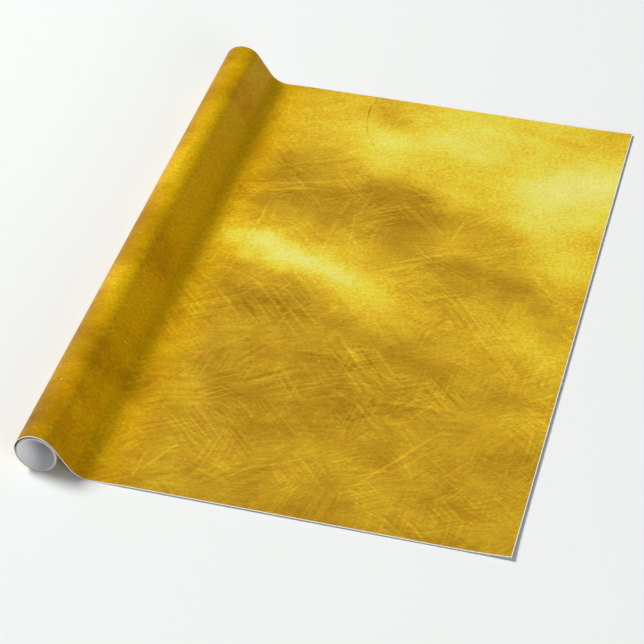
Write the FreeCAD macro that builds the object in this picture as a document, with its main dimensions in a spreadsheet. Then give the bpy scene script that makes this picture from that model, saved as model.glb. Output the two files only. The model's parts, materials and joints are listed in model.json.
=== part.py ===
import FreeCAD, Part
import math
import os

import Sketcher

# A roll of wrapping paper, partly unrolled on a table.
#
# The paper is one long web wound print side out on a paperboard tube. Its last stretch is
# pulled off the top of the roll: it comes down a short ramp and lies flat. The roll's axis
# runs along Y, the paper is pulled off along +X, and the table is the plane Z = 0. Each
# sub-part is drawn with X measured from the roll's axis, and its Placement then moves it so
# that the origin is the middle of the whole object's footprint.

SIZES = [
    ("web_width", 762.0, "width of the paper along the roll"),
    ("web_reach", 501.3, "from the roll's axis to the free edge"),
    ("paper_gauge", 0.2, "thickness of the paper"),
    ("core_length", 762.0, "length of the paperboard tube"),
    ("core_bore_radius", 20.4, "inside of the tube"),
    ("liner_wall", 0.3, "white ply inside the tube"),
    ("board_wall", 0.4, "grey board ply in the middle of the tube"),
    ("facing_wall", 0.3, "outer ply of the tube"),
    ("core_slip", 0.05, "radial play between the tube and the first turn of paper"),
    ("turn_gap", 0.1, "air between one wound turn and the next"),
    ("wound_half_turns", 4, "half turns of paper left on the tube, an even number"),
    ("turn_clearance", 0.35, "least gap between the wound turns and the loose outer turn"),
    ("turn_slack", 0.85, "how far the loose turn's centre stands off the roll's axis"),
    ("slack_angle", 125.0, "direction of that slack about the roll's axis"),
    ("tail_angle", 340.0, "where the loose turn ends, about its own centre"),
    ("ramp_angle", 57.0, "slope of the ramp down from the roll"),
    ("foot_radius", 27.0, "bend of the paper where the ramp meets the table"),
    ("curl_run", 60.0, "stretch of the free edge that curls up"),
    ("curl_radius", 600.0, "radius of that curl"),
    ("free_flat", 85.0, "flat paper of the free sheet, up to its curl"),
    ("joint_gap", 0.3, "gap where the apron ends and the free sheet begins"),
]

# Sizes that follow from the driving ones, as expressions for the sketches and placements.
CORE_RADIUS = (
    "(sizes.core_bore_radius + sizes.liner_wall + sizes.board_wall + sizes.facing_wall)"
)
WOUND_PITCH = "(sizes.paper_gauge + sizes.turn_gap)"
INNER_TURN = f"({CORE_RADIUS} + sizes.core_slip + sizes.paper_gauge / 2)"
WOUND_RADIUS = (
    f"({INNER_TURN} + sizes.paper_gauge / 2 + sizes.wound_half_turns * {WOUND_PITCH} / 2)"
)
LOOSE_TURN = (
    f"({WOUND_RADIUS} + sizes.turn_clearance + sizes.turn_slack + sizes.paper_gauge / 2)"
)
LOOSE_INSIDE = f"({LOOSE_TURN} - sizes.paper_gauge / 2)"
LOOSE_OUTSIDE = f"({LOOSE_TURN} + sizes.paper_gauge / 2)"
SLACK_X = "(-sizes.turn_slack * cos(sizes.slack_angle * 1 deg))"
SLACK_Z = "(sizes.turn_slack * sin(sizes.slack_angle * 1 deg))"
ROLL_Z = f"({LOOSE_OUTSIDE} - {SLACK_Z})"
RAMP_COS = "cos(sizes.ramp_angle * 1 deg)"
RAMP_SIN = "sin(sizes.ramp_angle * 1 deg)"
# height that the straight part of the ramp comes down
RAMP_FALL = f"({LOOSE_TURN} * (1 + {RAMP_COS}) - sizes.foot_radius * (1 - {RAMP_COS}))"
FOOT_X = (
    f"(({LOOSE_TURN} + sizes.foot_radius) * {RAMP_SIN}"
    f" + {RAMP_FALL} * {RAMP_COS} / {RAMP_SIN} - {SLACK_X})"
)
CURL_START = "(sizes.web_reach - sizes.curl_run)"
SHEET_START = f"({CURL_START} - sizes.free_flat)"
APRON_END = f"({SHEET_START} - sizes.joint_gap)"
MIDDLE_X = f"((sizes.web_reach - {LOOSE_OUTSIDE} - {SLACK_X}) / 2)"

# Numbers that Sketcher gives to points and axes
START, END, CENTRE = 1, 2, 3
ORIGIN = (-1, 1)
VERTICAL_AXIS = -2

doc = FreeCAD.newDocument("wrapping_paper_roll")
sheet = doc.addObject("Spreadsheet::Sheet", "sizes")
for row, (alias, number, note) in enumerate(SIZES, start=1):
    sheet.set(f"A{row}", alias)
    sheet.set(f"B{row}", str(number))
    sheet.set(f"C{row}", note)
    sheet.setAlias(f"B{row}", alias)
doc.recompute()


def value(expression):
    """The number that an expression has with the sheet's present sizes."""
    result = sheet.evalExpression(expression)
    return float(getattr(result, "Value", result))


def make_body(label):
    """An empty body that stands where the whole roll's frame puts it."""
    body = doc.addObject("PartDesign::Body", label)
    body.Label = label
    body.setExpression("Placement.Base.x", f"-{MIDDLE_X}")
    return body


def make_sketch(body, name, role, offset=None):
    """A sketch on one of the body's own planes, moved along that plane's normal by offset."""
    plane = [item for item in body.Origin.OriginFeatures if item.Role == role][0]
    sketch = body.newObject("Sketcher::SketchObject", f"{body.Name}_{name}")
    sketch.AttachmentSupport = (plane, [""])
    sketch.MapMode = "FlatFace"
    if offset:
        sketch.setExpression("AttachmentOffset.Base.z", offset)
    return sketch


def bind(sketch, kind, *where, to):
    """One dimension of a sketch, held to an expression of the sheet's sizes."""
    number = value(to)
    start = math.radians(number) if kind == "Angle" else number
    index = sketch.addConstraint(Sketcher.Constraint(kind, *where, start))
    sketch.setExpression(f"Constraints[{index}]", to)


def fix(sketch, kind, *where):
    """One constraint that has no number."""
    sketch.addConstraint(Sketcher.Constraint(kind, *where))


def add_line(sketch, first, last):
    line = Part.LineSegment(FreeCAD.Vector(*first, 0), FreeCAD.Vector(*last, 0))
    return sketch.addGeometry(line)


def add_arc(sketch, centre, radius, first_deg, last_deg):
    circle = Part.Circle(FreeCAD.Vector(*centre, 0), FreeCAD.Vector(0, 0, 1), radius)
    arc = Part.ArcOfCircle(circle, math.radians(first_deg), math.radians(last_deg))
    return sketch.addGeometry(arc)


def add_rectangle(sketch, left, right, low, high):
    """A rectangle drawn where these expressions say. The caller adds its dimensions."""
    x0, x1, y0, y1 = (value(side) for side in (left, right, low, high))
    corners = [(x0, y0), (x1, y0), (x1, y1), (x0, y1)]
    lines = [add_line(sketch, corners[i], corners[(i + 1) % 4]) for i in range(4)]
    for i in range(4):
        fix(sketch, "Coincident", lines[i], END, lines[(i + 1) % 4], START)
    for i in range(4):
        fix(sketch, "Horizontal" if i % 2 == 0 else "Vertical", lines[i])
    return lines


def strip_section(body, across, height):
    """The paper's cross-section, across the plane X = across and standing on height."""
    sketch = make_sketch(body, "section", "YZ_Plane", across)
    half = "sizes.web_width / 2"
    top = f"{height} + sizes.paper_gauge"
    lines = add_rectangle(sketch, f"-{half}", half, height, top)
    bottom, right = lines[0], lines[1]
    bind(sketch, "DistanceX", bottom, START, bottom, END, to="sizes.web_width")
    bind(sketch, "DistanceX", *ORIGIN, bottom, END, to=half)
    bind(sketch, "DistanceY", right, START, right, END, to="sizes.paper_gauge")
    bind(sketch, "DistanceY", *ORIGIN, bottom, START, to=height)
    return sketch


def sweep_paper(body, path, section):
    """The strip of paper that follows the path, one edge of the path after another."""
    doc.recompute()
    pipe = body.newObject("PartDesign::AdditivePipe", f"{body.Name}_paper")
    pipe.Profile = section
    edges = [f"Edge{i + 1}" for i in range(len(path.Shape.Edges))]
    pipe.Spine = (path, edges)
    return pipe


def pad_along_roll(body, sketch, length):
    """The solid that a cross-section of the roll makes, half its length each way."""
    pad = body.newObject("PartDesign::Pad", f"{body.Name}_length")
    pad.Profile = sketch
    pad.SideType = "Symmetric"
    pad.setExpression("Length", length)
    return pad


def make_ply(label, inside, wall):
    """One ply of the tube: a plain pipe on the roll's axis."""
    body = make_body(label)
    sketch = make_sketch(body, "ring", "XZ_Plane")
    centre = FreeCAD.Vector(0, value(ROLL_Z), 0)
    for radius in (f"({inside} + {wall})", inside):
        circle = Part.Circle(centre, FreeCAD.Vector(0, 0, 1), value(radius))
        ring = sketch.addGeometry(circle)
        bind(sketch, "Radius", ring, to=radius)
        fix(sketch, "PointOnObject", ring, CENTRE, VERTICAL_AXIS)
        bind(sketch, "DistanceY", *ORIGIN, ring, CENTRE, to=ROLL_Z)
    pad_along_roll(body, sketch, "sizes.core_length")
    return body


def make_core():
    """The paperboard tube, three plies glued one on the other."""
    board_inside = "(sizes.core_bore_radius + sizes.liner_wall)"
    facing_inside = f"({board_inside} + sizes.board_wall)"
    return [
        make_ply("core_liner_ply", "sizes.core_bore_radius", "sizes.liner_wall"),
        make_ply("core_board_ply", board_inside, "sizes.board_wall"),
        make_ply("core_facing_ply", facing_inside, "sizes.facing_wall"),
    ]


def make_wound_turns():
    """The paper still wound on the tube, from its outer end at the bottom inwards.

    Each half turn is a half circle half a pitch smaller than the one outside it. The right
    halves share one centre and the left halves another, half a pitch higher, which is the
    roll's axis.
    """
    body = make_body("wound_turns")
    path = make_sketch(body, "path", "XZ_Plane")
    count = int(value("sizes.wound_half_turns"))
    for turn in range(count):
        left_half = turn % 2
        centre_z = ROLL_Z if left_half else f"({ROLL_Z} - {WOUND_PITCH} / 2)"
        radius = f"({INNER_TURN} + {count - 1 - turn} * {WOUND_PITCH} / 2)"
        first = 90 if left_half else -90
        arc = add_arc(path, (0, value(centre_z)), value(radius), first, first + 180)
        bind(path, "Radius", arc, to=radius)
        fix(path, "PointOnObject", arc, CENTRE, VERTICAL_AXIS)
        bind(path, "DistanceY", *ORIGIN, arc, CENTRE, to=centre_z)
        fix(path, "PointOnObject", arc, START, VERTICAL_AXIS)
        fix(path, "PointOnObject", arc, END, VERTICAL_AXIS)
    lowest = f"({ROLL_Z} - {WOUND_RADIUS})"
    sweep_paper(body, path, strip_section(body, None, lowest))
    return body


def make_loose_turn():
    """The last turn on the roll, slack round the wound turns, drawn end on and padded."""
    body = make_body("loose_turn")
    sketch = make_sketch(body, "ring", "XZ_Plane")
    centre = (-value(SLACK_X), value(LOOSE_OUTSIDE))
    start_angle = 90 - value("sizes.ramp_angle")
    arcs = []
    for radius in (LOOSE_OUTSIDE, LOOSE_INSIDE):
        arc = add_arc(sketch, centre, value(radius), start_angle, value("sizes.tail_angle"))
        bind(sketch, "Radius", arc, to=radius)
        arcs.append(arc)
    outer, inner = arcs
    points = {(arc, end): sketch.getPoint(arc, end)[:2] for arc in arcs for end in (START, END)}
    mouth = add_line(sketch, points[inner, START], points[outer, START])
    tail = add_line(sketch, points[outer, END], points[inner, END])
    bind(sketch, "DistanceX", outer, CENTRE, *ORIGIN, to=SLACK_X)
    bind(sketch, "DistanceY", *ORIGIN, outer, CENTRE, to=LOOSE_OUTSIDE)
    fix(sketch, "Coincident", inner, CENTRE, outer, CENTRE)
    fix(sketch, "Coincident", mouth, START, inner, START)
    fix(sketch, "Coincident", mouth, END, outer, START)
    fix(sketch, "Coincident", tail, START, outer, END)
    fix(sketch, "Coincident", tail, END, inner, END)
    fix(sketch, "PointOnObject", outer, CENTRE, mouth)
    fix(sketch, "PointOnObject", outer, CENTRE, tail)
    bind(sketch, "Angle", mouth, to="90 - sizes.ramp_angle")
    bind(sketch, "Angle", tail, to="sizes.tail_angle - 180")
    pad_along_roll(body, sketch, "sizes.web_width")
    return body


def make_ramp():
    """The paper between the loose turn and the table: a straight slope, then a bend."""
    body = make_body("paper_ramp")
    path = make_sketch(body, "path", "XZ_Plane")
    slope, radius = value("sizes.ramp_angle"), value("sizes.foot_radius")
    height = "sizes.paper_gauge / 2"
    bend_centre = (value(FOOT_X), value(height) + radius)
    top = (
        -value(SLACK_X) + value(LOOSE_TURN) * value(RAMP_SIN),
        value(LOOSE_OUTSIDE) + value(LOOSE_TURN) * value(RAMP_COS),
    )
    bend = add_arc(path, bend_centre, radius, 270 - slope, 270)
    ramp = add_line(path, path.getPoint(bend, START)[:2], top)
    bind(path, "Radius", bend, to="sizes.foot_radius")
    fix(path, "Vertical", bend, END, bend, CENTRE)
    bind(path, "DistanceX", *ORIGIN, bend, END, to=FOOT_X)
    bind(path, "DistanceY", *ORIGIN, bend, END, to=height)
    fix(path, "Tangent", bend, START, ramp, START)
    bind(path, "Angle", ramp, to="180 - sizes.ramp_angle")
    bind(path, "Distance", ramp, to=f"{RAMP_FALL} / {RAMP_SIN}")
    sweep_paper(body, path, strip_section(body, FOOT_X, "0"))
    return body


def make_apron():
    """The flat paper between the ramp's foot and the free sheet."""
    body = make_body("sheet_apron")
    sketch = make_sketch(body, "outline", "XY_Plane")
    half = "sizes.web_width / 2"
    lines = add_rectangle(sketch, FOOT_X, APRON_END, f"-{half}", half)
    near, right = lines[0], lines[1]
    bind(sketch, "DistanceX", *ORIGIN, near, START, to=FOOT_X)
    bind(sketch, "DistanceX", *ORIGIN, near, END, to=APRON_END)
    bind(sketch, "DistanceY", right, START, right, END, to="sizes.web_width")
    bind(sketch, "DistanceY", near, START, *ORIGIN, to=half)
    pad = body.newObject("PartDesign::Pad", "sheet_apron_paper")
    pad.Profile = sketch
    pad.setExpression("Length", "sizes.paper_gauge")
    return body


def make_free_sheet():
    """The end of the paper: flat on the table, then curling up a little to the free edge."""
    body = make_body("free_sheet")
    path = make_sketch(body, "path", "XZ_Plane")
    height = "sizes.paper_gauge / 2"
    first, last = (value(SHEET_START), value(height)), (value(CURL_START), value(height))
    radius = value("sizes.curl_radius")
    sweep = math.degrees(math.asin(value("sizes.curl_run") / radius))
    flat = add_line(path, first, last)
    curl = add_arc(path, (last[0], last[1] + radius), radius, 270, 270 + sweep)
    fix(path, "Horizontal", flat)
    fix(path, "Tangent", flat, END, curl, START)
    bind(path, "DistanceX", *ORIGIN, flat, START, to=SHEET_START)
    bind(path, "DistanceY", *ORIGIN, flat, START, to=height)
    bind(path, "DistanceX", *ORIGIN, curl, CENTRE, to=CURL_START)
    bind(path, "Radius", curl, to="sizes.curl_radius")
    bind(path, "DistanceX", *ORIGIN, curl, END, to="sizes.web_reach")
    sweep_paper(body, path, strip_section(body, SHEET_START, "0"))
    return body


def check_model(parts):
    """Stop if any object failed, or if a sub-part isn't one sound solid."""
    for item in doc.Objects:
        if "Invalid" in item.State or "Error" in item.State:
            raise RuntimeError(f"{item.Label} failed: {item.State}")
        if item.isDerivedFrom("Sketcher::SketchObject") and item.solve() != 0:
            raise RuntimeError(f"{item.Label} can't be solved")
    for body in parts:
        shape = body.Shape
        if shape.isNull() or not shape.isValid() or len(shape.Solids) != 1:
            raise RuntimeError(f"{body.Label} isn't one sound solid")
        box = shape.BoundBox
        print(
            f"{body.Label:16s} volume {shape.Volume:10.1f}"
            f"  x {box.XMin:8.2f} {box.XMax:8.2f}"
            f"  y {box.YMin:8.2f} {box.YMax:8.2f}  z {box.ZMin:6.2f} {box.ZMax:6.2f}"
        )


parts = make_core()
parts.append(make_wound_turns())
parts.append(make_loose_turn())
parts.append(make_ramp())
parts.append(make_apron())
parts.append(make_free_sheet())
doc.recompute()
check_model(parts)

print(f"roll axis at x {-value(MIDDLE_X):.3f} z {value(ROLL_Z):.3f}")
print(f"wound turns reach {value(WOUND_RADIUS):.3f} from the axis")
print(f"loose turn's middle radius {value(LOOSE_TURN):.3f}")
print(f"ramp foot at x {value(FOOT_X) - value(MIDDLE_X):.3f}")

os.makedirs("parts", exist_ok=True)
for body in parts:
    body.Shape.exportStep(os.path.join("parts", f"{body.Label}.step"))
print(f"wrote {len(parts)} sub-parts")
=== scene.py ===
import json
from math import atan2, cos, pi, radians, sin

import bpy
import numpy as np
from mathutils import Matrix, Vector


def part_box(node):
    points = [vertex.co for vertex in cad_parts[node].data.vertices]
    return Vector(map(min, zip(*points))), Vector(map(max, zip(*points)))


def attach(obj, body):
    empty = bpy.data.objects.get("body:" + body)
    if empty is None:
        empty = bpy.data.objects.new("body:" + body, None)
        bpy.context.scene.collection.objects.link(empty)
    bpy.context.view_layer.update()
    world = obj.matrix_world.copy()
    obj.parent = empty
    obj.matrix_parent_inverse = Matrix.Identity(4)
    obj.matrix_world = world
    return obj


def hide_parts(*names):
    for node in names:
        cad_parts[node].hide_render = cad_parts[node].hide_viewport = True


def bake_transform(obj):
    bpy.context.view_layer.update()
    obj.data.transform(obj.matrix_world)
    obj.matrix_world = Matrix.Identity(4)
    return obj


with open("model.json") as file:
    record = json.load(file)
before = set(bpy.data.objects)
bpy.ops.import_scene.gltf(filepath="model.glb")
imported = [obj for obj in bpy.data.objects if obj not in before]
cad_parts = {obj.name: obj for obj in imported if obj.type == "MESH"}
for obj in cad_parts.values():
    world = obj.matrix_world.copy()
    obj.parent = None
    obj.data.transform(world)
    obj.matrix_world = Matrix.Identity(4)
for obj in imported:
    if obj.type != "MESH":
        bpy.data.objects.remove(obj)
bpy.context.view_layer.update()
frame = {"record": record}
mm = 0.001

# places that the CAD model fixes
turnLow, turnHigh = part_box("loose_turn")
sheetLow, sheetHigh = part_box("free_sheet")
apronLow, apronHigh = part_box("sheet_apron")
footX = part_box("paper_ramp")[1][0]
boreMount = [m for m in frame["record"]["mounts"] if m["name"] == "core_bore"][0]
axisX = boreMount["pos_m"][0]
axisZ = boreMount["pos_m"][2]
boreRadius = boreMount["dims"]["r_mm"] * mm
nearY, farY = sheetLow[1], sheetHigh[1]
freeX = sheetHigh[0]
print("CAD model loaded")


def putMesh(name, points, faces, slots, slide=None):
    # a closed mesh from whole arrays, sharp only where its faces turn hard
    mesh = bpy.data.meshes.new(name)
    mesh.from_pydata(points.tolist(), [], faces.tolist())
    mesh.polygons.foreach_set("material_index", np.asarray(slots, np.int32))
    mesh.polygons.foreach_set("use_smooth", np.ones(len(faces), bool))
    if slide is not None:
        layer = mesh.attributes.new("webSlide", "FLOAT", "POINT")
        layer.data.foreach_set("value", slide.astype(np.float32))
    mesh.set_sharp_from_angle(angle=radians(35))
    mesh.update()
    piece = bpy.data.objects.new(name, mesh)
    bpy.context.scene.collection.objects.link(piece)
    return piece


def shellFaces(rows, columns):
    # quads of two grids laid back to back, the first one facing out, and of the rim between
    index = np.arange(rows * columns).reshape(rows, columns)
    back = index + rows * columns
    top = np.stack([index[:-1, :-1], index[1:, :-1], index[1:, 1:], index[:-1, 1:]], -1)
    under = np.stack([back[:-1, :-1], back[:-1, 1:], back[1:, 1:], back[1:, :-1]], -1)
    rim = np.concatenate([index[0, :], index[1:, -1], index[-1, -2::-1], index[-2:0:-1, 0]])
    rimBack = rim + rows * columns
    nextRim, nextBack = np.roll(rim, -1), np.roll(rimBack, -1)
    edge = np.stack([rim, nextRim, nextBack, rimBack], -1)
    return top.reshape(-1, 4), under.reshape(-1, 4), edge


# the printed web, from its free edge back over the ramp and once round the roll
web = {
    "gauge": apronHigh[2] - apronLow[2],
    "outside": turnHigh[2] / 2,
    "rampAngle": radians(57),
    "footRadius": 27 * mm,
    "tailAngle": radians(340),
    # the loose turn closes in on the wound roll between these two angles
    "hugFrom": radians(163),
    "hugFull": radians(208),
    "hugGap": 0.22 * mm,
    # the unprinted white along the cut edges
    "nearMargin": 0.9 * mm,
    "farMargin": 0.5 * mm,
    "freeMargin": 0.7 * mm,
    # the free edge's curl
    "curlRun": 62 * mm,
    "curlNear": 2.4 * mm,
    "curlFar": 1.4 * mm,
    # the cut edges' lift, and the far edge's share of it
    "edgeLift": 1.2 * mm,
    "edgeRun": 26 * mm,
    "edgeFall": 1.4,
    "farShare": 0.3,
    # the flat paper's slow wave, and how far from the ramp's foot the flat takes to begin
    "wave": 0.3 * mm,
    "flatRun": 40 * mm,
    # rows of points: on the flat, behind the ramp's foot, and across
    "flatRows": 96,
    "backRows": 150,
    "acrossRows": 97,
}


def webLine(slide):
    # middle of the paper in X and Z, and its outward normal, for a distance along the web
    # that equals X on the flat: bend, straight ramp, then a circle that stands off the wound
    # roll at the top left and hugs it from the left side round to its end
    ramp, bend = web["rampAngle"], web["footRadius"]
    radius = web["outside"] - web["gauge"] / 2
    centreX, centreZ = turnLow[0] + web["outside"], web["outside"]
    level = web["gauge"] / 2
    back = np.maximum(footX - slide, 0)
    bendLength = bend * ramp
    turn = np.clip(back / bend, 0, ramp)
    x = np.where(back > 0, footX - bend * np.sin(turn), slide)
    z = level + bend * (1 - np.cos(turn))
    rampLength = (radius * (1 + cos(ramp)) - bend * (1 - cos(ramp))) / sin(ramp)
    run = np.clip(back - bendLength, 0, rampLength)
    x = x - run * cos(ramp)
    z = z + run * sin(ramp)
    angle = pi / 2 - ramp + np.maximum(back - bendLength - rampLength, 0) / radius
    hug = np.clip((angle - web["hugFrom"]) / (web["hugFull"] - web["hugFrom"]), 0, 1)
    gap = radius - web["gauge"] / 2 - wound["outside"]
    gap = gap + (centreX - axisX) * np.cos(angle) + (centreZ - axisZ) * np.sin(angle)
    reach = radius - hug * hug * (3 - 2 * hug) * np.maximum(gap - web["hugGap"], 0)
    onRoll = back > bendLength + rampLength
    x = np.where(onRoll, centreX + reach * np.cos(angle), x)
    z = np.where(onRoll, centreZ + reach * np.sin(angle), z)
    normalX = np.where(onRoll, np.cos(angle), np.sin(turn))
    normalZ = np.where(onRoll, np.sin(angle), np.cos(turn))
    tailSlide = footX - bendLength - rampLength - radius * (web["tailAngle"] - pi / 2 + ramp)
    return x, z, normalX, normalZ, tailSlide


def flatLift(x, y):
    # height of the flat paper over the table: the free edge's curl, which grows as the square of
    # the distance; the cut edges' lift, which falls off as a bell; and a slow wave, never below 0
    share = (y - nearY) / (farY - nearY)
    curl = web["curlNear"] + (web["curlFar"] - web["curlNear"]) * share
    out = np.clip((x - (freeX - web["curlRun"])) / web["curlRun"], 0, 1)
    nearEdge = np.exp(-((y - nearY) / web["edgeRun"]) ** web["edgeFall"])
    farEdge = np.exp(-((farY - y) / web["edgeRun"]) ** web["edgeFall"])
    edge = nearEdge + web["farShare"] * farEdge
    onFlat = np.clip((x - footX) / web["flatRun"], 0, 1)
    onFlat = onFlat * onFlat * (3 - 2 * onFlat)
    wave = 0.5 + 0.5 * np.sin(14 * x + 3 * y) * np.cos(9 * y - 4 * x + 1)
    return onFlat * (web["edgeLift"] * edge + web["wave"] * wave) + curl * out * out


def makeSheet(name, outer, inner, slide, materials, bareRows):
    # two grids back to back, with print on the outer one apart from its cut edges and its last
    # bareRows rows; slide is the distance along the web less X, for the print to lie by
    rows, columns = slide.shape
    top, under, edge = shellFaces(rows, columns)
    printed = np.zeros((rows - 1, columns - 1), bool)
    printed[: rows - 1 - bareRows, 1:-1] = True
    slots = np.concatenate([np.where(printed.ravel(), 0, 1), np.full(len(under), 2), np.ones(len(edge))])
    points = np.concatenate([outer.reshape(-1, 3), inner.reshape(-1, 3)])
    faces = np.concatenate([top, under, edge])
    piece = putMesh(name, points, faces, slots, np.tile(slide.ravel(), 2))
    for material in materials:
        piece.data.materials.append(material)
    return piece


def makeWeb(materials):
    # the web's line carried across the roll's width, half a gauge out and half a gauge in
    tail = webLine(np.array([0.0]))[4]
    flat = np.linspace(freeX - web["freeMargin"], footX, web["flatRows"])
    back = np.linspace(footX, tail, web["backRows"])[1:]
    slide = np.concatenate([[freeX], flat, back])[::-1]
    inside = np.linspace(nearY + web["nearMargin"], farY - web["farMargin"], web["acrossRows"])
    across = np.concatenate([[nearY], inside, [farY]])
    s, y = np.meshgrid(slide, across, indexing="ij")
    x, z, normalX, normalZ, _ = webLine(s)
    z = z + flatLift(x, y)
    half = web["gauge"] / 2
    outer = np.stack([x + normalX * half, y, z + normalZ * half], -1)
    inner = np.stack([x - normalX * half, y, z - normalZ * half], -1)
    piece = makeSheet("printedWeb", outer, inner, s - x, materials, 1)
    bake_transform(piece)
    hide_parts("loose_turn", "paper_ramp", "sheet_apron", "free_sheet")


# the turns still wound tight on the tube
wound = {
    "turns": 8.5,
    "gauge": 0.082 * mm,
    "inside": 21.45 * mm,
    "pitch": 0.092 * mm,
    # the radius that the loose turn closes in on
    "outside": 22.25 * mm,
    "rowsPerTurn": 72,
    # how far the turns' cut edges step in and out, and how fast with the angle
    "step": 0.12 * mm,
    "stepBeat": 0.61,
    # where on the print this paper begins
    "printFrom": -1.0,
}


def makeWound(materials):
    # a strip whose radius grows evenly with its angle, one gauge thick; its outer end follows on
    # from the loose turn's tail
    angle = np.linspace(0, 2 * pi * wound["turns"], int(wound["turns"] * wound["rowsPerTurn"]) + 1)
    radius = wound["inside"] + wound["pitch"] * angle / (2 * pi)
    turn = web["tailAngle"] + angle[-1] - angle
    across = np.array([nearY, nearY + web["nearMargin"], farY - web["farMargin"], farY])
    a, y = np.meshgrid(turn, across, indexing="ij")
    r = np.repeat(radius[:, None], len(across), 1)
    step = wound["step"] * np.sin(angle * wound["stepBeat"]) ** 2
    y = y - np.sign(y) * step[:, None]
    far = r + wound["gauge"]
    outer = np.stack([axisX + far * np.cos(a), y, axisZ + far * np.sin(a)], -1)
    inner = np.stack([axisX + r * np.cos(a), y, axisZ + r * np.sin(a)], -1)
    slide = wound["printFrom"] + r * a - outer[..., 0]
    piece = makeSheet("woundPaper", outer, inner, slide, materials, 0)
    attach(piece, "roll")
    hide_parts("wound_turns")


# the tube's three plies: where each one's outside is, and how far it stands back at the cut ends
tube = {
    "linerOut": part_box("core_liner_ply")[1][0] - axisX,
    "boardOut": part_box("core_board_ply")[1][0] - axisX,
    "facingOut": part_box("core_facing_ply")[1][0] - axisX,
    "skinBack": 0.05 * mm,
    "boardBack": 0.10 * mm,
    "ease": 0.06 * mm,
    "sides": 160,
}


def makePly(name, node, inside, outside, back, material):
    # a tube: its section's outline, with eased corners, turned about the roll's axis
    near, far, ease = nearY + back, farY - back, tube["ease"]
    outline = np.array([
        (inside, near + ease), (inside + ease, near), (outside - ease, near), (outside, near + ease),
        (outside, far - ease), (outside - ease, far), (inside + ease, far), (inside, far - ease),
    ])
    angle = np.linspace(0, 2 * pi, tube["sides"], endpoint=False)
    a, r = np.meshgrid(angle, outline[:, 0], indexing="ij")
    y = np.repeat(outline[None, :, 1], len(angle), 0)
    points = np.stack([axisX + r * np.cos(a), y, axisZ + r * np.sin(a)], -1).reshape(-1, 3)
    index = np.arange(points.shape[0]).reshape(a.shape)
    right, up = np.roll(index, -1, 0), np.roll(index, -1, 1)
    both = np.roll(right, -1, 1)
    faces = np.stack([index, up, both, right], -1).reshape(-1, 4)
    piece = putMesh(name, points, faces, np.zeros(len(faces)))
    piece.data.materials.append(material)
    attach(piece, "core")
    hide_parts(node)


def makeTube(linerBoard, greyBoard, facingBoard):
    # the plies one round the other, from the bore out
    linerOut, boardOut, facingOut = tube["linerOut"], tube["boardOut"], tube["facingOut"]
    skinBack, boardBack = tube["skinBack"], tube["boardBack"]
    makePly("tubeLiner", "core_liner_ply", boreRadius, linerOut, skinBack, linerBoard)
    makePly("tubeBoard", "core_board_ply", linerOut, boardOut, boardBack, greyBoard)
    makePly("tubeFacing", "core_facing_ply", boardOut, facingOut, skinBack, facingBoard)
    print("tube", round(2 * facingOut / mm, 1), "mm across")


def addNode(tree, kind, inputs=None, **settings):
    # a shader node: its settings, then each input linked to a socket or set to a value
    made = tree.nodes.new("ShaderNode" + kind)
    for key, setting in settings.items():
        setattr(made, key, setting)
    for key, given in (inputs or {}).items():
        if isinstance(given, bpy.types.NodeSocket):
            tree.links.new(given, made.inputs[key])
        else:
            made.inputs[key].default_value = given
    return made


def calc(tree, how, first, second=0.0):
    return addNode(tree, "Math", {0: first, 1: second}, operation=how).outputs[0]


def spread(tree, value, low, high, toLow=0.0, toHigh=1.0, smooth=True):
    # a value carried from one range to another; the smooth way stops at the range's ends
    made = addNode(
        tree, "MapRange",
        {"Value": value, "From Min": low, "From Max": high, "To Min": toLow, "To Max": toHigh},
        interpolation_type="SMOOTHSTEP" if smooth else "LINEAR", clamp=False,
    )
    return made.outputs["Result"]


def noise(tree, where, detail, rough, size, turn=0.0, move=(0, 0)):
    # noise stretched along one direction of the paper: size is how long and how wide a mark is
    placed = addNode(
        tree, "Mapping",
        {"Vector": where, "Location": (*move, 0), "Rotation": (0, 0, radians(turn)), "Scale": (*size, 1)},
        vector_type="TEXTURE",
    )
    made = addNode(
        tree, "TexNoise",
        {"Vector": placed.outputs[0], "Scale": 1.0, "Detail": detail, "Roughness": rough},
        noise_dimensions="2D",
    )
    return made.outputs["Fac"]


def swing(tree, value, reach, low=0.3, high=0.7):
    # a noise made to swing evenly about 0
    return spread(tree, value, low, high, -reach, reach, smooth=False)


def driftOf(tree, where, scale, reach, detail):
    # the same place pushed about by a slow noise
    drift = addNode(
        tree, "TexNoise", {"Vector": where, "Scale": scale, "Detail": detail, "Roughness": 0.6},
        noise_dimensions="2D",
    )
    push = addNode(
        tree, "VectorMath", {0: drift.outputs["Color"], 1: (0.5, 0.5, 0.5)}, operation="SUBTRACT",
    )
    push = addNode(tree, "VectorMath", {0: push.outputs[0], 1: (reach, reach, 0)}, operation="MULTIPLY")
    return addNode(tree, "VectorMath", {0: where, 1: push.outputs[0]}, operation="ADD").outputs[0]


def softSpot(tree, where, at, size, turn, amount):
    # an oval that fades from its middle out
    placed = addNode(
        tree, "Mapping",
        {"Vector": where, "Location": (*at, 0), "Rotation": (0, 0, turn), "Scale": (*size, 1)},
        vector_type="TEXTURE",
    )
    ball = addNode(tree, "TexGradient", {"Vector": placed.outputs[0]}, gradient_type="SPHERICAL")
    return spread(tree, ball.outputs["Fac"], 0.0, 1.0, 0.0, amount)


def addTo(tree, sofar, value):
    # added one by one as they are made, because a shader keeps only so many values waiting
    return value if sofar is None else calc(tree, "ADD", sofar, value)


def newMaterial(name):
    # a material, its node tree and its shader
    made = bpy.data.materials.new(name)
    made.use_nodes = True
    tree = made.node_tree
    return made, tree, tree.nodes["Principled BSDF"]


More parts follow.
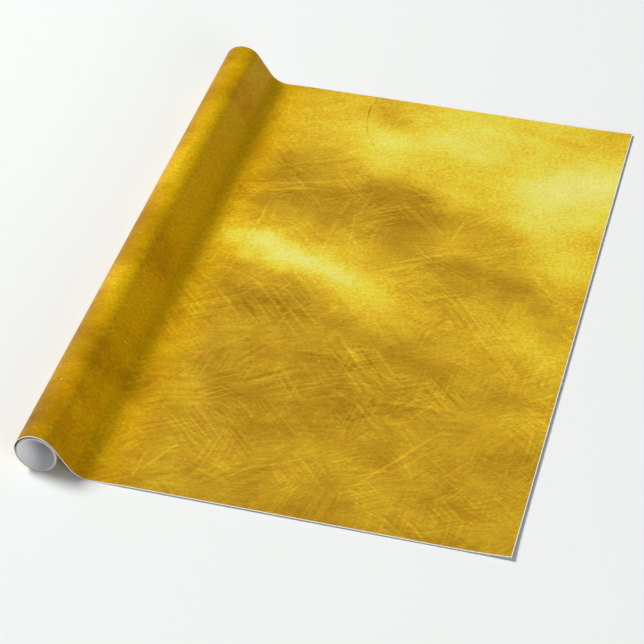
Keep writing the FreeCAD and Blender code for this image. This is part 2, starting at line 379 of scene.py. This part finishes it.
def mixOf(tree, factor, dark, light):
    # a colour between two others
    made = addNode(tree, "Mix", {"Factor": factor, "A": dark, "B": light}, data_type="RGBA")
    return made.outputs["Result"]


# the gold print, with painted light and shade on the ramp and roll, in metres on the flat web
goldPrintAndPaintedLight = {
    "ground": 0.335,
    # soft patches: middle, half lengths, turn, and how much lighter than the ground
    "patches": [
        # the big glow at the far right and what it is made of
        ((0.14, 0.31), (0.38, 0.20), -5, 0.24),
        ((0.20, 0.22), (0.26, 0.11), 36, 0.15),
        ((0.25, 0.14), (0.13, 0.19), 10, 0.18),
        ((0.21, 0.115), (0.11, 0.06), -40, 0.13),
        ((-0.02, 0.075), (0.12, 0.04), -10, 0.05),
        ((0.07, 0.20), (0.07, 0.05), 40, 0.08),
        ((0.22, 0.27), (0.16, 0.04), 30, 0.09),
        ((0.10, 0.37), (0.18, 0.07), 0, 0.16),
        ((0.05, 0.29), (0.16, 0.07), 5, 0.12),
        ((-0.01, 0.305), (0.09, 0.035), 8, 0.08),
        ((0.01, 0.240), (0.12, 0.045), -12, 0.09),
        ((-0.11, 0.32), (0.18, 0.12), -30, 0.12),
        ((-0.12, 0.26), (0.10, 0.04), 0, 0.02),
        ((-0.03, 0.345), (0.030, 0.035), 0, -0.12),
        ((0.17, 0.345), (0.08, 0.020), -12, -0.08),
        # the bright streak off the ramp
        ((-0.12, 0.050), (0.13, 0.036), -6, 0.18),
        ((-0.07, 0.030), (0.11, 0.038), -16, 0.15),
        ((0.00, -0.012), (0.11, 0.050), -33, 0.18),
        ((-0.09, 0.052), (0.22, 0.075), -10, 0.14),
        ((0.02, 0.00), (0.14, 0.08), -30, 0.12),
        # brown clouds above it
        ((0.03, 0.155), (0.12, 0.065), 8, -0.09),
        ((-0.12, 0.195), (0.08, 0.05), 20, -0.05),
        ((-0.04, 0.175), (0.10, 0.045), 15, -0.06),
        ((0.14, 0.06), (0.09, 0.04), -10, -0.03),
        ((0.17, 0.045), (0.035, 0.03), 0, -0.06),
        # the near half
        ((0.20, -0.03), (0.14, 0.05), -32, 0.14),
        ((0.14, -0.06), (0.12, 0.06), 0, 0.07),
        ((0.24, -0.12), (0.14, 0.14), 0, 0.07),
        ((0.08, -0.10), (0.05, 0.03), -20, -0.06),
        ((-0.08, -0.045), (0.09, 0.05), -20, -0.09),
        ((-0.06, -0.23), (0.09, 0.05), 0, -0.05),
        ((0.05, -0.13), (0.05, 0.03), 0, -0.06),
        ((-0.03, -0.18), (0.05, 0.03), -20, -0.05),
        ((0.13, -0.08), (0.05, 0.04), 0, 0.05),
        ((-0.11, -0.14), (0.07, 0.04), 0, -0.04),
        ((0.02, -0.24), (0.14, 0.05), 10, -0.03),
        ((0.02, -0.17), (0.15, 0.10), 10, -0.05),
        ((-0.13, -0.15), (0.07, 0.10), 0, 0.03),
        ((0.10, -0.41), (0.42, 0.09), 0, -0.06),
        # on the ramp and the roll
        ((-0.235, -0.12), (0.07, 0.07), 20, 0.16),
        ((-0.245, 0.14), (0.08, 0.14), 0, 0.12),
        ((-0.24, 0.27), (0.06, 0.045), 0, -0.06),
        ((-0.245, 0.21), (0.05, 0.17), 0, 0.08),
        ((-0.235, -0.36), (0.06, 0.10), 0, -0.06),
        ((-0.17, 0.40), (0.09, 0.06), 0, -0.13),
        ((-0.215, -0.03), (0.06, 0.05), 10, -0.12),
        ((-0.22, -0.22), (0.08, 0.06), 0, -0.10),
        ((-0.28, -0.38), (0.08, 0.10), 0, -0.10),
        ((-0.29, 0.33), (0.07, 0.05), 0, 0.06),
        ((-0.29, 0.10), (0.05, 0.07), 0, 0.10),
    ],
    # the colour of each tone
    "tones": [
        (0.00, (0.140, 0.062, 0.0015)),
        (0.22, (0.385, 0.205, 0.0050)),
        (0.31, (0.505, 0.285, 0.0130)),
        (0.42, (0.665, 0.402, 0.0170)),
        (0.52, (0.785, 0.520, 0.0280)),
        (0.62, (0.800, 0.650, 0.0480)),
        (0.74, (0.820, 0.745, 0.1350)),
        (1.00, (0.900, 0.870, 0.3800)),
    ],
    # brush strokes: turn, length, width, strength, and a shift that gives each its own noise
    "strokes": [
        (-46, 0.140, 0.0046, 0.062, (0.3, 0.1)),
        (31, 0.110, 0.0042, 0.056, (1.7, 0.6)),
        (8, 0.150, 0.0056, 0.042, (2.9, 1.4)),
        (86, 0.100, 0.0036, 0.042, (4.1, 2.2)),
        (57, 0.120, 0.0034, 0.044, (5.3, 3.7)),
        (-24, 0.090, 0.0038, 0.040, (6.1, 4.9)),
    ],
    # single marks: from, to, width, how much lighter
    "marks": [
        # the first three are painted light, lighter across the whole width where the flat past the foot,
        # the foot and the ramp lie in the roll's shade; the fourth is painted shade, darker over the
        # roll's upper left
        ((-0.164, -4.000), (-0.164, 4.000), 0.0240, 0.03),
        ((-0.194, -4.000), (-0.194, 4.000), 0.0300, 0.08),
        ((-0.226, -4.000), (-0.226, 4.000), 0.0600, 0.11),
        ((-0.284, -4.000), (-0.284, 4.000), 0.0330, -0.12),
        # the rest are marks in the print
        ((0.065, -0.350), (0.172, -0.185), 0.0034, 0.12),
        ((0.080, -0.335), (0.180, -0.210), 0.0024, 0.09),
        ((-0.150, -0.376), (-0.102, -0.285), 0.0030, 0.11),
        ((-0.190, 0.141), (-0.060, 0.180), 0.0034, 0.13),
        ((-0.190, 0.154), (-0.075, 0.190), 0.0026, 0.10),
        ((-0.150, 0.160), (-0.020, 0.215), 0.0024, 0.10),
        ((0.030, 0.050), (0.126, 0.107), 0.0036, 0.11),
        ((0.087, 0.090), (0.106, 0.180), 0.0026, 0.11),
        ((-0.138, 0.050), (-0.133, 0.165), 0.0024, 0.09),
        ((-0.127, 0.055), (-0.120, 0.155), 0.0020, 0.08),
        ((-0.020, 0.060), (-0.032, 0.160), 0.0026, 0.09),
        ((-0.158, -0.026), (-0.097, -0.099), 0.0036, 0.08),
        ((-0.138, -0.022), (-0.067, -0.110), 0.0028, -0.06),
        ((-0.118, -0.030), (-0.055, -0.106), 0.0034, 0.08),
        ((-0.080, -0.050), (-0.020, -0.120), 0.0030, 0.08),
        ((0.000, -0.075), (0.060, -0.153), 0.0036, 0.11),
        ((0.020, -0.078), (0.094, -0.176), 0.0030, -0.06),
        ((0.034, -0.076), (0.104, -0.164), 0.0032, 0.08),
        ((-0.088, -0.205), (0.004, -0.142), 0.0034, 0.09),
        ((-0.074, -0.190), (-0.008, -0.140), 0.0028, -0.08),
        ((-0.064, -0.208), (0.014, -0.157), 0.0028, 0.09),
        ((-0.130, -0.160), (-0.080, -0.105), 0.0030, 0.08),
        ((0.110, -0.250), (0.150, -0.300), 0.0030, 0.08),
        ((-0.040, -0.300), (0.030, -0.260), 0.0030, 0.07),
        ((-0.070, 0.372), (-0.062, 0.318), 0.0018, -0.26),
        ((-0.064, 0.328), (-0.052, 0.288), 0.0018, -0.24),
        ((-0.056, 0.296), (-0.036, 0.270), 0.0016, -0.18),
    ],
    # how a slow noise pushes the print about: its scale, reach and detail
    "wander": (9.0, 0.075, 6.0),
    "bend": (4.0, 0.030, 1.0),
    "shake": (22.0, 0.006, 2.0),
    # noises: how long and wide a mark is, and how far it moves the tone
    "cloud": ((0.075, 0.055), 0.095),
    "fibre": ((0.020, 0.0026), 0.03),
    "grain": (0.0045, 0.0032),
    "grainRange": (0.075, 0.20),
    "brushArea": (0.08, 0.055),
    "leanArea": (0.05, 0.035),
    "specks": {"scale": 42.0, "light": 0.16},
    # painted shade on the ramp: its middle, how far its cap and tint reach, and the palest tone there
    "rampAt": (-0.218, 0),
    "rampCap": (0.085, 4.0),
    "rampTint": (0.110, 4.0),
    "rampPalest": 0.48,
    "bump": 0.0001,
}


def printClouds(tree, where):
    # the ground, soft patches at a wandering place and a slow noise, added up
    wandering = driftOf(tree, where, *goldPrintAndPaintedLight["wander"])
    tone = None
    for at, size, turn, light in goldPrintAndPaintedLight["patches"]:
        tone = addTo(tree, tone, softSpot(tree, wandering, at, size, radians(turn), light))
    size, reach = goldPrintAndPaintedLight["cloud"]
    cloud = swing(tree, noise(tree, where, 6.0, 0.62, size), reach, 0.2, 0.8)
    return calc(tree, "ADD", calc(tree, "ADD", tone, cloud), goldPrintAndPaintedLight["ground"])


def printStrokesAndPaintedLight(tree, where, bent, along, tone):
    # brush strokes, each direction on areas of its own, fainter where the print glows and on
    # the ramp and the roll; then the single marks, each a long thin spot at a shaky place, the
    # first four being painted light and painted shade across the ramp, its foot and the roll
    brushRoom = spread(tree, tone, 0.38, 0.60, 1.0, 0.3)
    brushRoom = calc(tree, "MULTIPLY", brushRoom, spread(tree, along, -0.27, -0.15, 0.3, 1.0))
    strokesMarksAndPaintedLight = None
    for turn, length, width, strength, move in goldPrintAndPaintedLight["strokes"]:
        marks = noise(tree, bent, 2.0, 0.5, (length, width), turn, move)
        mask = noise(tree, where, 2.0, 0.6, goldPrintAndPaintedLight["brushArea"], turn, (move[1], move[0]))
        mask = calc(tree, "MULTIPLY", spread(tree, mask, 0.48, 0.64), brushRoom)
        marks = spread(tree, marks, 0.40, 0.70, -0.45 * strength, strength)
        strokesMarksAndPaintedLight = addTo(tree, strokesMarksAndPaintedLight, calc(tree, "MULTIPLY", marks, mask))
    shaky = driftOf(tree, where, *goldPrintAndPaintedLight["shake"])
    for begin, finish, width, light in goldPrintAndPaintedLight["marks"]:
        run = (finish[0] - begin[0], finish[1] - begin[1])
        middle = ((begin[0] + finish[0]) / 2, (begin[1] + finish[1]) / 2)
        size = ((run[0] ** 2 + run[1] ** 2) ** 0.5 / 2, width)
        strokesMarksAndPaintedLight = addTo(tree, strokesMarksAndPaintedLight, softSpot(tree, shaky, middle, size, atan2(run[1], run[0]), light))
    return strokesMarksAndPaintedLight


def printGrain(tree, where, bent, tone):
    # mottled grain, stronger where the print is light, with fibres and a few bright specks
    grain = swing(tree, noise(tree, where, 3.0, 0.7, goldPrintAndPaintedLight["grain"], 12), 0.5)
    grainSize = spread(tree, tone, 0.3, 0.60, *goldPrintAndPaintedLight["grainRange"])
    size, reach = goldPrintAndPaintedLight["fibre"]
    fibre = swing(tree, noise(tree, bent, 3.0, 0.6, size, 25), reach)
    specks = goldPrintAndPaintedLight["specks"]
    speckle = addNode(
        tree, "TexVoronoi", {"Vector": where, "Scale": specks["scale"]}, voronoi_dimensions="2D",
    )
    chosen = addNode(tree, "SeparateColor", {0: speckle.outputs["Color"]})
    speck = spread(tree, speckle.outputs["Distance"], 0.03, 0.075, specks["light"], 0.0)
    speck = calc(tree, "MULTIPLY", speck, spread(tree, chosen.outputs[0], 0.80, 0.95))
    for value in (calc(tree, "MULTIPLY", grain, grainSize), fibre, speck):
        tone = calc(tree, "ADD", tone, value)
    return tone, grain


def goldMaterial():
    # the place on the print is the distance along the web, and Y
    made, tree, shader = newMaterial("gold_print")
    place = addNode(tree, "TexCoord")
    parts = addNode(tree, "SeparateXYZ", {0: place.outputs["Object"]})
    slide = addNode(tree, "Attribute", attribute_name="webSlide", attribute_type="GEOMETRY")
    along = calc(tree, "ADD", parts.outputs[0], slide.outputs["Fac"])
    where = addNode(tree, "CombineXYZ", {0: along, 1: parts.outputs[1]}).outputs[0]
    tone = printClouds(tree, where)
    bent = driftOf(tree, where, *goldPrintAndPaintedLight["bend"])
    tone = calc(tree, "ADD", tone, printStrokesAndPaintedLight(tree, where, bent, along, tone))
    # painted shade: on the shaded ramp the print is capped to golden tones; a pale one would look green
    rampAt, rampTint = goldPrintAndPaintedLight["rampAt"], goldPrintAndPaintedLight["rampTint"]
    shaded = softSpot(tree, where, rampAt, goldPrintAndPaintedLight["rampCap"], 0, 1.4)
    palest = calc(tree, "SUBTRACT", 1.2, shaded)
    palest = calc(tree, "MAXIMUM", palest, goldPrintAndPaintedLight["rampPalest"])
    tone = calc(tree, "MINIMUM", tone, palest)
    tone, grain = printGrain(tree, where, bent, tone)
    ramp = addNode(tree, "ValToRGB", {"Fac": tone})
    stops = ramp.color_ramp.elements
    for i, (at, colour) in enumerate(goldPrintAndPaintedLight["tones"]):
        stop = stops[i] if i < 2 else stops.new(at)
        stop.position = at
        stop.color = (*colour, 1)
    # some of the gold leans a little to orange and some to lemon, and a painted shade tint makes
    # the ramp a richer orange
    leanAndShadeHue = noise(tree, where, 3.0, 0.6, goldPrintAndPaintedLight["leanArea"], 30, (3, 5))
    leanAndShadeHue = spread(tree, leanAndShadeHue, 0.3, 0.7, 0.495, 0.505, smooth=False)
    leanAndShadeHue = calc(tree, "ADD", leanAndShadeHue, softSpot(tree, where, rampAt, rampTint, 0, -0.011))
    rampShadeSaturation = calc(tree, "ADD", softSpot(tree, where, rampAt, rampTint, 0, 0.04), 1.0)
    tinted = addNode(tree, "HueSaturation", {"Hue": leanAndShadeHue, "Saturation": rampShadeSaturation, "Color": ramp.outputs[0]})
    tree.links.new(tinted.outputs[0], shader.inputs["Base Color"])
    rough = spread(tree, grain, -0.5, 0.5, 0.60, 0.46, smooth=False)
    tree.links.new(rough, shader.inputs["Roughness"])
    shader.inputs["Specular IOR Level"].default_value = 0.25
    shader.inputs["Specular Tint"].default_value = (1.0, 0.72, 0.12, 1)
    bump = addNode(tree, "Bump", {"Strength": 0.1, "Distance": goldPrintAndPaintedLight["bump"], "Height": grain})
    tree.links.new(bump.outputs[0], shader.inputs["Normal"])
    return made


# plain paper: noise scales, and each paper's darker and lighter colour
paper = {
    "fibres": 900.0,
    "clouds": 35.0,
    "bump": 0.00005,
    "edge": ((0.90, 0.90, 0.89, 1), (0.95, 0.945, 0.93, 1)),
    # the back is the same white paper as the edge, made a darker grey: painted shade for where it is seen
    # in shade
    "back": ((0.60, 0.605, 0.61, 1), (0.68, 0.68, 0.68, 1)),
}


def paperMaterial(name, dark, light):
    # fine fibres that roughen the paper, and faint clouds of shade
    made, tree, shader = newMaterial(name)
    place = addNode(tree, "TexCoord").outputs["Object"]
    fibre = addNode(
        tree, "TexNoise", {"Vector": place, "Scale": paper["fibres"], "Detail": 4.0, "Roughness": 0.7},
    ).outputs["Fac"]
    cloud = addNode(tree, "TexNoise", {"Vector": place, "Scale": paper["clouds"], "Detail": 3.0})
    tree.links.new(mixOf(tree, cloud.outputs["Fac"], dark, light), shader.inputs["Base Color"])
    tree.links.new(spread(tree, fibre, 0.3, 0.7, 0.7, 0.85), shader.inputs["Roughness"])
    shader.inputs["Specular IOR Level"].default_value = 0.3
    bump = addNode(tree, "Bump", {"Strength": 0.2, "Distance": paper["bump"], "Height": fibre})
    tree.links.new(bump.outputs[0], shader.inputs["Normal"])
    return made


# paperboard: noise scales, the butt seam, and each ply's darker and lighter colour
board = {
    "fibres": 700.0,
    "blotches": 60.0,
    "bump": 0.0001,
    "seamPitch": 0.105,
    "seamWidth": 0.0005,
    "seamStrength": 0.35,
    "seamColour": (0.45, 0.45, 0.46, 1),
    "liner": ((0.84, 0.84, 0.85, 1), (0.89, 0.89, 0.895, 1)),
    "facing": ((0.60, 0.59, 0.57, 1), (0.69, 0.68, 0.66, 1)),
    "grey": ((0.36, 0.35, 0.335, 1), (0.48, 0.47, 0.45, 1)),
}


def boardMaterial(name, dark, light):
    # fibres and blotches, and a thin butt seam where the angle's share of a turn plus the
    # distance over the pitch comes to half way between two whole numbers
    made, tree, shader = newMaterial(name)
    place = addNode(tree, "TexCoord").outputs["Object"]
    moved = addNode(tree, "VectorMath", {0: place, 1: (axisX, 0, axisZ)}, operation="SUBTRACT")
    parts = addNode(tree, "SeparateXYZ", {0: moved.outputs[0]})
    angle = calc(tree, "ARCTAN2", parts.outputs[2], parts.outputs[0])
    turns = calc(tree, "DIVIDE", angle, 2 * pi)
    lift = calc(tree, "DIVIDE", parts.outputs[1], board["seamPitch"])
    across = calc(tree, "FRACT", calc(tree, "ADD", turns, lift))
    off = calc(tree, "ABSOLUTE", calc(tree, "SUBTRACT", across, 0.5))
    line = spread(tree, off, 0.0, board["seamWidth"] / board["seamPitch"], 1.0, 0.0)
    fibre = addNode(
        tree, "TexNoise", {"Vector": place, "Scale": board["fibres"], "Detail": 5.0, "Roughness": 0.65},
    ).outputs["Fac"]
    blotch = addNode(tree, "TexNoise", {"Vector": place, "Scale": board["blotches"], "Detail": 3.0})
    mixed = calc(tree, "MULTIPLY", fibre, 0.5)
    mixed = calc(tree, "ADD", mixed, calc(tree, "MULTIPLY", blotch.outputs["Fac"], 0.5))
    shade = mixOf(tree, spread(tree, mixed, 0.35, 0.65), dark, light)
    seamShare = calc(tree, "MULTIPLY", line, board["seamStrength"])
    shade = mixOf(tree, seamShare, shade, board["seamColour"])
    tree.links.new(shade, shader.inputs["Base Color"])
    tree.links.new(spread(tree, fibre, 0.3, 0.7, 0.68, 0.86), shader.inputs["Roughness"])
    shader.inputs["Specular IOR Level"].default_value = 0.3
    height = calc(tree, "SUBTRACT", calc(tree, "MULTIPLY", fibre, 0.4), line)
    bump = addNode(tree, "Bump", {"Strength": 0.3, "Distance": board["bump"], "Height": height})
    tree.links.new(bump.outputs[0], shader.inputs["Normal"])
    return made


# a plain pale table, just under the paper so that the two never share a surface
table = {
    "size": 30.0,
    "drop": 0.3 * mm,
    "dark": (0.888, 0.902, 0.897, 1),
    "light": (0.903, 0.917, 0.912, 1),
}


def makeTable():
    # one square face, with a faint haze
    made, tree, shader = newMaterial("table_top")
    place = addNode(tree, "TexCoord").outputs["Object"]
    haze = addNode(tree, "TexNoise", {"Vector": place, "Scale": 1.5, "Detail": 2.0})
    shade = mixOf(tree, haze.outputs["Fac"], table["dark"], table["light"])
    tree.links.new(shade, shader.inputs["Base Color"])
    shader.inputs["Roughness"].default_value = 0.9
    shader.inputs["Specular IOR Level"].default_value = 0.0
    half, drop = table["size"] / 2, table["drop"]
    corners = [(-half, -half, -drop), (half, -half, -drop), (half, half, -drop), (-half, half, -drop)]
    mesh = bpy.data.meshes.new("tableTop")
    mesh.from_pydata(corners, [], [(0, 1, 2, 3)])
    piece = bpy.data.objects.new("tableTop", mesh)
    bpy.context.scene.collection.objects.link(piece)
    mesh.materials.append(made)


# one large soft light from the roll's side and one low fill; heading and height in degrees
lights = {
    "windowLight": {
        "heading": 168, "height": 43, "distance": 9.5, "width": 3.6, "watts": 985.0,
        "colour": (1.0, 1.0, 0.99),
    },
    "fillCard": {
        "heading": -47, "height": 11, "distance": 4.5, "width": 2.8, "watts": 102.0,
        "colour": (0.985, 0.995, 1.0),
    },
}


def makeLight(name):
    # a disk that looks at the roll's middle from its heading and height
    told = lights[name]
    lamp = bpy.data.lights.new(name, "AREA")
    lamp.shape = "DISK"
    lamp.size = told["width"]
    lamp.energy = told["watts"]
    lamp.color = told["colour"]
    turn, rise = radians(told["heading"]), radians(told["height"])
    toLight = Vector((cos(rise) * cos(turn), cos(rise) * sin(turn), sin(rise)))
    holder = bpy.data.objects.new(name, lamp)
    holder.location = toLight * told["distance"]
    holder.rotation_euler = (-toLight).to_track_quat("-Z", "Y").to_euler()
    bpy.context.scene.collection.objects.link(holder)


# how bright the room is round the table and overhead
room = {"horizon": 0.06, "zenith": 0.23, "colour": (0.985, 0.995, 1.0, 1)}


def makeRoom():
    # a soft ceiling: the brightness grows evenly with the height of the direction
    world = bpy.data.worlds.new("softRoom")
    world.use_nodes = True
    tree = world.node_tree
    sky = tree.nodes["Background"]
    toward = addNode(tree, "SeparateXYZ", {0: addNode(tree, "TexCoord").outputs["Generated"]})
    height = calc(tree, "MAXIMUM", toward.outputs[2], 0.0)
    glow = spread(tree, height, 0.0, 1.0, room["horizon"], room["zenith"], smooth=False)
    tree.links.new(glow, sky.inputs["Strength"])
    sky.inputs["Color"].default_value = room["colour"]
    bpy.context.scene.world = world


# the camera stands at the table's near right; turn and down in degrees
view = {"place": (0.4993, -1.9968, 1.6487), "turn": 14.964, "down": 39.576, "lens": 129.13, "film": 36}


def makeCamera():
    # level, turned about the upright and tipped down
    eye = bpy.data.cameras.new("tableCamera")
    eye.lens = view["lens"]
    eye.sensor_width = view["film"]
    holder = bpy.data.objects.new("tableCamera", eye)
    holder.location = view["place"]
    holder.rotation_euler = (radians(90 - view["down"]), 0, radians(view["turn"]))
    bpy.context.scene.collection.objects.link(holder)
    bpy.context.scene.camera = holder


# materials
gold = goldMaterial()
white = paperMaterial("paper_edge", *paper["edge"])
# painted shade: the white reverse made grey
paintedShadeBacking = paperMaterial("paper_back", *paper["back"])
linerBoard = boardMaterial("liner_paper", *board["liner"])
facingBoard = boardMaterial("facing_paper", *board["facing"])
greyBoard = boardMaterial("core_board", *board["grey"])
print("materials made")

# pieces
# the web's underside, and the wound turns' underside and cut ends, take the darker back paper: painted
# shade
makeWeb([gold, white, paintedShadeBacking])
makeWound([gold, paintedShadeBacking, paintedShadeBacking])
makeTube(linerBoard, greyBoard, facingBoard)
print("pieces made")

# table, light and camera
makeTable()
for name in lights:
    makeLight(name)
makeRoom()
makeCamera()
bpy.context.scene.view_settings.view_transform = "Standard"
print("table, light and camera made")
